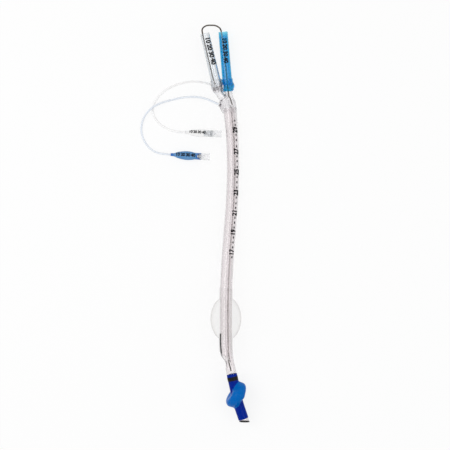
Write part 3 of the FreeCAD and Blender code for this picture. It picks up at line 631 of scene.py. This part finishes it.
def print_piece(name, labels, surface):
    """One piece of print from several labels, each (text, size, place, heading)."""
    joined = bmesh.new()
    missed = 0
    for label in labels:
        form = printed(*label)
        missed += dropped(form, surface)
        part = bpy.data.meshes.new("type")
        form.to_mesh(part)
        joined.from_mesh(part)
        form.free()
        bpy.data.meshes.remove(part)
    mesh = bpy.data.meshes.new(name)
    joined.to_mesh(mesh)
    joined.free()
    print(name, "has", len(mesh.polygons), "faces;", missed, "points missed the surface")
    return add_piece(name, mesh)


# %% Depth marks on the shaft
# A mark's number is its distance from the tip in centimetres
CM = 10 * MM
TIP_Y = -198.1 * MM
MARKS = range(17, 33, 2)
MARK_SIZE = 6.0 * MM
MARK_ACROSS = 3.6 * MM
shaft_surface = surface_of(nodes["shaft"])
BESIDE = 60 * MM
SHAFT_HEIGHT = 10 * MM
SHAFT_TOP_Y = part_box("shaft")[1].y
HEADING_REACH = 5 * MM


def shaft_middle(y):
    """The middle of the shaft in the floor plan, between its left and its right side."""
    sides = [shaft_surface.find_nearest(Vector((x, y, SHAFT_HEIGHT)))[0] for x in (-BESIDE, BESIDE)]
    return (sides[0] + sides[1]) / 2


shaft_labels = []
for mark in MARKS:
    for text, at in (("- %d -" % mark, mark), ("-", mark + 1)):
        y = TIP_Y + at * CM
        middle = shaft_middle(y)
        ahead = (shaft_middle(y + HEADING_REACH) - shaft_middle(y - HEADING_REACH)).normalized()
        place = (middle.x + ahead.y * MARK_ACROSS, middle.y - ahead.x * MARK_ACROSS)
        if place[1] < SHAFT_TOP_Y - MARK_SIZE:
            shaft_labels.append((text, MARK_SIZE, place, math.atan2(ahead.y, ahead.x)))
marks = [print_piece("shaft_depth_marks", shaft_labels, shaft_surface)]

# %% Numbers on the limbs and the pilot balloons
ROW = "10 20 30 40"
# The two ends of each row in the floor plan and the size of its type, in millimetres
ROW_PLACES = {
    ("tracheal", "limb"): ((-18.0, 184.5), (-11.7, 160.0), 6.2),
    ("bronchial", "limb"): ((-1.0, 184.2), (0.6, 162.4), 5.6),
    ("tracheal", "pilot"): ((-35.0, 92.3), (-21.1, 91.3), 3.7),
    ("bronchial", "pilot"): ((-49.6, 69.6), (-30.3, 68.3), 4.4),
}


def print_row(side, kind, surface):
    """A row of type along the line between two points of the floor plan, at its middle."""
    *ends, size = ROW_PLACES[side, kind]
    start, finish = (Vector(end) * MM for end in ends)
    way = finish - start
    label = (ROW, size * MM, (start + finish) / 2, math.atan2(way.y, way.x))
    return print_piece(side + "_" + kind + "_print", [label], surface)


for side in ("tracheal", "bronchial"):
    marks.append(print_row(side, "limb", surface_of(nodes[side + "_limb"])))
    marks.append(print_row(side, "pilot", surface_of(balloons[side])))

# %% [markdown]
# ## Materials
# Soft clear vinyl is not glass: its walls swallow a little light, so edges, where the eye looks through more
# of it, turn grey, and it is faintly milky. A transmitting surface with an absorbing volume inside gives
# that, and on top the wall's colour is painted darker where it is seen edge-on, a painted shade on the edges.
# For shadow rays the surface lets light straight through, so that the floor stays bright.

# %% Surface grain
def grain(tree, size, depth, stretch=(1, 1, 1)):
    """A fine unevenness of the surface. The size is that of its grains."""
    place = node(tree, "TexCoord")
    mapping = node(tree, "Mapping", Vector=place.outputs["Object"], Scale=stretch)
    noise = node(tree, "TexNoise", Vector=mapping.outputs[0], Scale=1 / size, Detail=3.0)
    return node(tree, "Bump", Height=noise.outputs["Fac"], Strength=1.0, Distance=depth).outputs[0]


def mottle(tree, low, high, size, stretch=(1, 1, 1)):
    """A colour that drifts between two near ones."""
    place = node(tree, "TexCoord")
    mapping = node(tree, "Mapping", Vector=place.outputs["Object"], Scale=stretch)
    noise = node(tree, "TexNoise", Vector=mapping.outputs[0], Scale=1 / size, Detail=2.0)
    ramp = node(tree, "ValToRGB", Fac=noise.outputs["Fac"])
    ramp.color_ramp.elements[0].position = 0.35
    ramp.color_ramp.elements[0].color = (*low, 1)
    ramp.color_ramp.elements[1].position = 0.65
    ramp.color_ramp.elements[1].color = (*high, 1)
    return ramp.outputs["Color"]


def colour_mix(tree, share, first, second):
    """From one colour, a socket, to another, three numbers."""
    mix = node(tree, "MixRGB", Fac=share, Color1=first, Color2=(*second, 1))
    return mix.outputs["Color"]


def dress(names, material):
    """Gives a material to nodes of the frame or to pieces, by name."""
    for name in names:
        target = nodes.get(name) or bpy.data.objects[name]
        target.data.materials.clear()
        target.data.materials.append(material)


print("grain and mottle are ready")

# %% Clear and tinted vinyl
VINYL_GRAIN = 1.5 * MM
VINYL_MOTTLE = 3 * MM
VINYL_DARKER = 0.96
# How steeply and how far the painted shade darkens the wall's colour at its rim
RIM_POWER = 2.0
RIM_PAINTED_SHADE = 0.45


def vinyl(name, swallow, body, clearness, roughness, shine=0.5, grain_depth=0.006 * MM, stretch=(1, 1, 1),
          bend=1.5, mouth_highlight=None):
    """A clear wall. Swallow is how much red, green and blue a metre of it takes, and body is its own colour.

    A mouth_highlight is two places along y and a lighter colour that the wall's own fades to between them, a
    painted highlight where the limb flares into its mouth.
    """
    material, tree = new_material(name)
    low = [VINYL_DARKER * part for part in body]
    colour = mottle(tree, low, body, VINYL_MOTTLE, stretch)
    # Painted highlight: the colour turns lighter towards the limb's mouth
    if mouth_highlight:
        start, finish, highlight_colour = mouth_highlight
        place = node(tree, "TexCoord")
        along = node(tree, "SeparateXYZ", Vector=place.outputs["Object"])
        to_mouth = node(tree, "MapRange", Value=along.outputs["Y"], From_Min=start, From_Max=finish)
        colour = colour_mix(tree, to_mouth.outputs["Result"], colour, highlight_colour)
    # Painted shade: the wall's colour turns darker towards the rim, where it is seen edge-on
    facing = node(tree, "LayerWeight", Blend=0.5)
    edge = node(tree, "Math", operation="POWER")
    tree.links.new(facing.outputs["Facing"], edge.inputs[0])
    edge.inputs[1].default_value = RIM_POWER
    colour = colour_mix(tree, edge.outputs[0], colour, [(1 - RIM_PAINTED_SHADE) * part for part in body])
    wall = node(tree, "BsdfPrincipled", Base_Color=colour, Roughness=roughness,
                IOR=bend, Specular_IOR_Level=shine, Transmission_Weight=clearness,
                Normal=grain(tree, VINYL_GRAIN, grain_depth, stretch))
    through = node(tree, "BsdfTransparent", Color=(1, 1, 1, 1))
    path = node(tree, "LightPath")
    density = max(swallow)
    tint = [1 - part / density for part in swallow]
    volume = node(tree, "VolumeAbsorption", Color=(*tint, 1), Density=density)
    output(tree, mixed(tree, path.outputs["Is Shadow Ray"], wall, through), volume)
    return material


# A stretch below 1 draws the grain out along the tube
ALONG_TUBE = (1, 0.05, 1)
# Painted highlight: the blue limb's colour fades to pale blue towards its flared mouth
LIMB_MOUTH_HIGHLIGHT = (186.8 * MM, 191.5 * MM, (0.8, 0.94, 0.99))
dress(["shaft", "bronchial_tube"],
      vinyl("shaft_vinyl", swallow=(40, 52, 50), body=(0.985, 0.97, 0.975), clearness=0.98, roughness=0.01,
            grain_depth=0.002 * MM, stretch=ALONG_TUBE))
dress(["tracheal_limb"],
      vinyl("clear_limb_vinyl", swallow=(88, 70, 58), body=(0.98, 0.98, 0.985), clearness=0.97,
            roughness=0.02, stretch=ALONG_TUBE))
dress(["bronchial_limb"],
      vinyl("blue_limb_vinyl", swallow=(600, 105, 40), body=(0.0, 0.6, 0.87), clearness=0.93, roughness=0.02,
            shine=0.04, stretch=ALONG_TUBE, mouth_highlight=LIMB_MOUTH_HIGHLIGHT))
dress(["y_joint", "tracheal_collar", "tracheal_line_sleeve"],
      vinyl("clear_moulded", swallow=(22, 24, 22), body=(0.985, 0.98, 0.985), clearness=0.97, roughness=0.02,
            bend=1.3))
dress(["bronchial_collar"],
      vinyl("blue_moulded", swallow=(220, 60, 15), body=(0.08, 0.68, 0.94), clearness=0.92, roughness=0.03,
            shine=0.15, bend=1.3))
dress(["tracheal_luer_cap", "bronchial_luer_cap"],
      vinyl("luer_plastic", swallow=(16, 15, 14), body=(0.99, 0.99, 0.995), clearness=0.97, roughness=0.03))
dress(["tracheal_valve_body", "bronchial_valve_body"],
      vinyl("valve_plastic", swallow=(50, 42, 34), body=(0.97, 0.975, 0.98), clearness=0.95, roughness=0.04))

# %% [markdown]
# Blown film is so thin that it bends no light. It lets most of it straight through and scatters the rest, and
# more where it is seen edge-on. So it is a mix of a transparent and a plastic surface, by the angle to the
# eye, and the number that each ring carries says where the film is thin and where it lies double.

# %% Clear and blue film
FILM_ROUGHNESS = 0.14
FILM_WRINKLE_SIZE = 4 * MM
FILM_WRINKLE_DEPTH = 0.05 * MM
FILM_RIM_POWER = 4.0


def film(name, thin, thick, thin_cover, thick_cover, rim_cover, shine=0.5):
    """Film from its blown, thin colour and cover to its sleeve's, with a denser rim."""
    material, tree = new_material(name)
    blown = node(tree, "Attribute", attribute_name="blown").outputs["Fac"]
    colour = node(tree, "ValToRGB", Fac=blown)
    colour.color_ramp.elements[0].color = (*thick, 1)
    colour.color_ramp.elements[1].color = (*thin, 1)
    coat = node(tree, "BsdfPrincipled", Base_Color=colour.outputs["Color"], Roughness=FILM_ROUGHNESS,
                Specular_IOR_Level=shine, Normal=grain(tree, FILM_WRINKLE_SIZE, FILM_WRINKLE_DEPTH))
    cover = node(tree, "MapRange", Value=blown, To_Min=thick_cover, To_Max=thin_cover)
    facing = node(tree, "LayerWeight", Blend=0.5)
    rim = node(tree, "Math", operation="POWER")
    tree.links.new(facing.outputs["Facing"], rim.inputs[0])
    rim.inputs[1].default_value = FILM_RIM_POWER
    share = node(tree, "MapRange", Value=rim.outputs[0], To_Min=cover.outputs["Result"], To_Max=rim_cover)
    through = node(tree, "BsdfTransparent", Color=(1, 1, 1, 1))
    output(tree, mixed(tree, share.outputs["Result"], through, coat))
    return material


dress(["tracheal_cuff_film"],
      film("clear_cuff_film", thin=(0.6, 0.57, 0.54), thick=(0.7, 0.68, 0.67),
           thin_cover=0.075, thick_cover=0.06, rim_cover=0.85))
dress(["bronchial_cuff_film"],
      film("blue_cuff_film", thin=(0.0, 0.14, 0.52), thick=(0.0, 0.018, 0.27),
           thin_cover=0.95, thick_cover=0.999, rim_cover=1.0, shine=0.05))
dress(["tracheal_pilot_film"],
      film("clear_pilot_film", thin=(0.72, 0.71, 0.7), thick=(0.5, 0.5, 0.52),
           thin_cover=0.1, thick_cover=0.2, rim_cover=0.6))
dress(["bronchial_pilot_film"],
      film("blue_pilot_film", thin=(0.09, 0.3, 0.62), thick=(0.0, 0.12, 0.5),
           thin_cover=0.8, thick_cover=0.9, rim_cover=0.95, shine=0.3))
print("film is on the cuffs and the balloons")

# %% [markdown]
# The rest needs no glass: the two lines, which are milky and whose bore is too fine to show, the stylet's
# satin wire, the black ink, and the small parts of the valves.

# %% Lines, wire, ink and valve parts
def opaque(name, low, high, roughness, metallic=0.0, grain_size=1 * MM, grain_depth=0.01 * MM,
           stretch=(1, 1, 1), shine=0.5):
    """A plain surface whose colour drifts between two near ones."""
    material, tree = new_material(name)
    base = node(tree, "BsdfPrincipled", Base_Color=mottle(tree, low, high, 4 * grain_size, stretch),
                Roughness=roughness, Metallic=metallic, Specular_IOR_Level=shine,
                Normal=grain(tree, grain_size, grain_depth, stretch))
    output(tree, base)
    return material


dress(["tracheal_line_tube"],
      opaque("clear_line_vinyl", low=(0.96, 0.95, 0.95), high=(0.98, 0.975, 0.975), roughness=0.2))
dress(["bronchial_line_tube"],
      opaque("blue_line_vinyl", low=(0.78, 0.83, 0.91), high=(0.83, 0.87, 0.93), roughness=0.2))
dress(["stylet"],
      opaque("stylet_wire", low=(0.06, 0.052, 0.045), high=(0.12, 0.105, 0.09), roughness=0.25, metallic=1.0,
             grain_size=0.4 * MM, grain_depth=0.004 * MM, stretch=ALONG_TUBE))
INKED = ["tip_marker", "marker_ring", "opening_marker"] + [mark.name for mark in marks]
dress(INKED,
      opaque("black_ink", low=(0.003, 0.003, 0.004), high=(0.008, 0.008, 0.01), roughness=0.4, shine=0.12))
dress(["tracheal_poppet", "bronchial_poppet"],
      opaque("poppet_plastic", low=(0.7, 0.7, 0.72), high=(0.78, 0.78, 0.8), roughness=0.35))
dress(["tracheal_valve_seal", "bronchial_valve_seal"],
      opaque("seal_rubber", low=(0.02, 0.02, 0.02), high=(0.05, 0.05, 0.05), roughness=0.6))
dress(["tracheal_valve_coil", "bronchial_valve_coil"],
      opaque("spring_steel", low=(0.4, 0.4, 0.42), high=(0.52, 0.52, 0.54), roughness=0.25, metallic=1.0))
print(len(bpy.data.materials), "materials")

# %% [markdown]
# ## The end

# %% The end
view.update()
